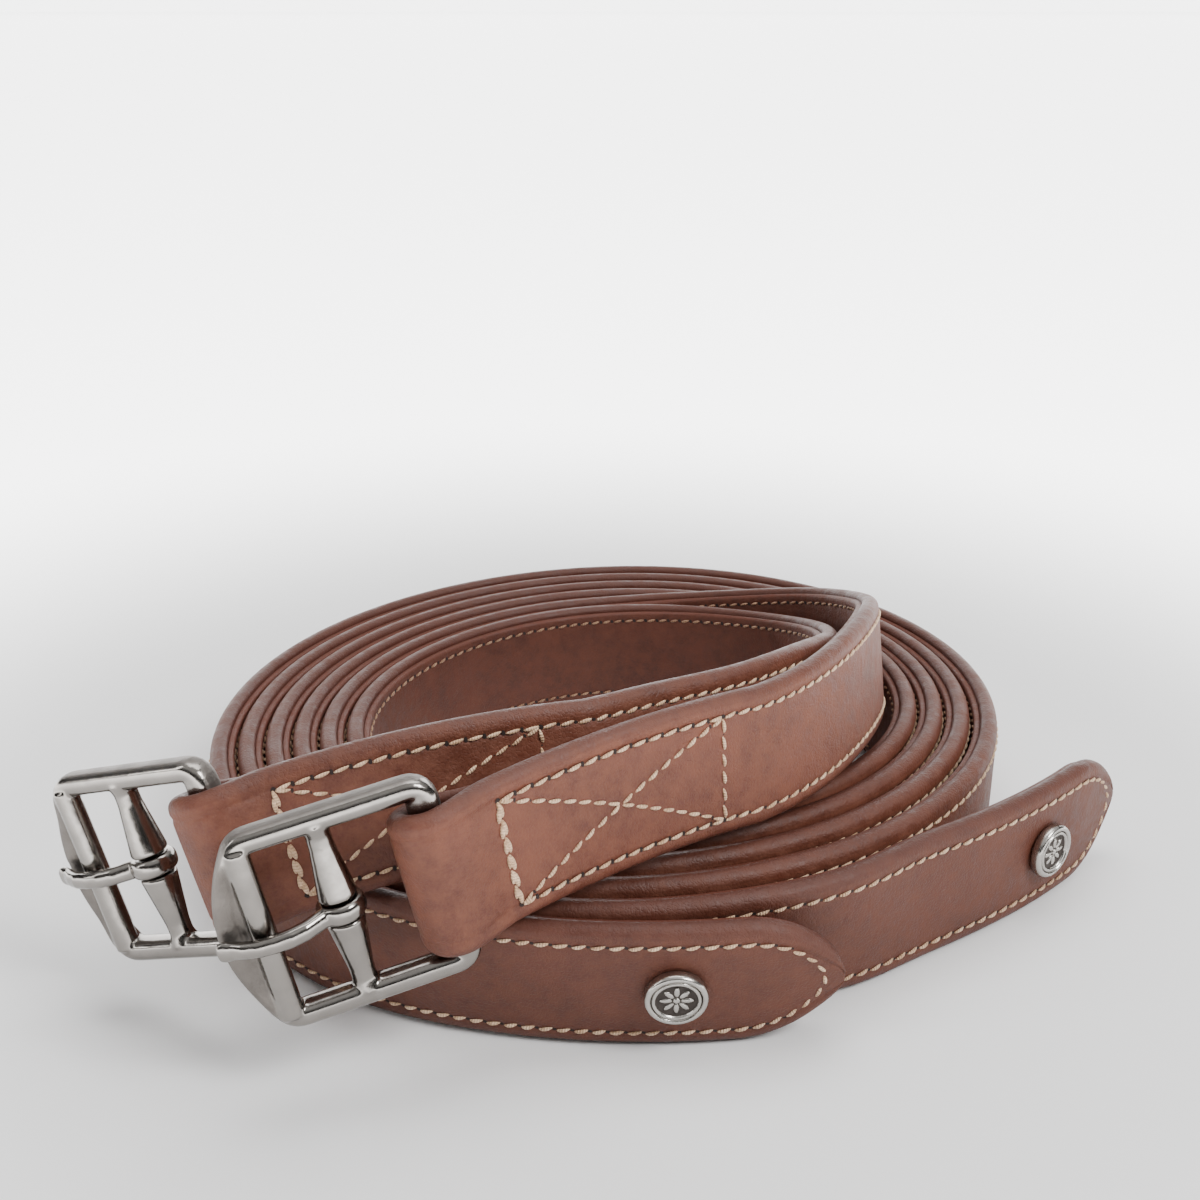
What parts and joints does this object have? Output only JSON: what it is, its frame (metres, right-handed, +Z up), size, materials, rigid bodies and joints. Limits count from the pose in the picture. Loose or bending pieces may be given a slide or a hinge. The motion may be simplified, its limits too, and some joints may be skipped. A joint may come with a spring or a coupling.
{
  "type": "coiled pair of stirrup leathers",
  "caption": "Two long stitched leather straps wound together into one upright coil, buckle ends laid over the top, pointed studded tips outside",
  "frame": {"origin": "on the floor, under the middle of the object's box", "axes": "+Z up, the axis the coil is wound about; +Y away from the buckles; +X towards the tip of leather b"},
  "size_m": [0.1951, 0.1778, 0.0534],
  "materials": {
    "face_leather": "satin reddish-brown bridle leather, fine grain, turned edges",
    "lining_leather": "smooth reddish-brown lining leather, raw trimmed edges",
    "web_core": "dark woven web, hidden inside the strap",
    "thread": "cream waxed thread",
    "buckle_steel": "cast stainless steel, polished edges, satin outer faces",
    "stud_steel": "polished stainless steel with fine turned rings"
  },
  "bodies": {
    "straps": {"strap_face_a": "face_leather", "strap_rise_a": "face_leather", "strap_core_a": "web_core", "strap_lining_a": "lining_leather", "fold_stitching_a": "thread", "stud_cap_a": "stud_steel", "stud_rivet_a": "stud_steel", "strap_face_b": "face_leather", "strap_rise_b": "face_leather", "strap_core_b": "web_core", "strap_lining_b": "lining_leather", "fold_stitching_b": "thread", "stud_cap_b": "stud_steel", "stud_rivet_b": "stud_steel"},
    "frame_a": {"buckle_frame_a": "buckle_steel"},
    "tongue_a": {"buckle_tongue_a": "buckle_steel"},
    "frame_b": {"buckle_frame_b": "buckle_steel"},
    "tongue_b": {"buckle_tongue_b": "buckle_steel"}
  },
  "joints": [
    {"name": "frame_swing_a", "type": "hinge", "parent": "straps", "child": "frame_a", "pos_m": [-0.03003, -0.07593, 0.03616], "axis": [0.2153, 0.0012, -0.9766], "range_deg": [-40, 10]},
    {"name": "tongue_lift_a", "type": "hinge", "parent": "frame_a", "child": "tongue_a", "pos_m": [-0.04492, -0.08006, 0.03287], "axis": [0.2153, 0.0012, -0.9766], "range_deg": [-60, 0]},
    {"name": "frame_swing_b", "type": "hinge", "parent": "straps", "child": "frame_b", "pos_m": [-0.06506, -0.06739, 0.03381], "axis": [0.2818, -0.116, -0.9525], "range_deg": [-15, 30]},
    {"name": "tongue_lift_b", "type": "hinge", "parent": "frame_b", "child": "tongue_b", "pos_m": [-0.07898, -0.06166, 0.029], "axis": [0.2818, -0.116, -0.9525], "range_deg": [-60, 0]}
  ]
}
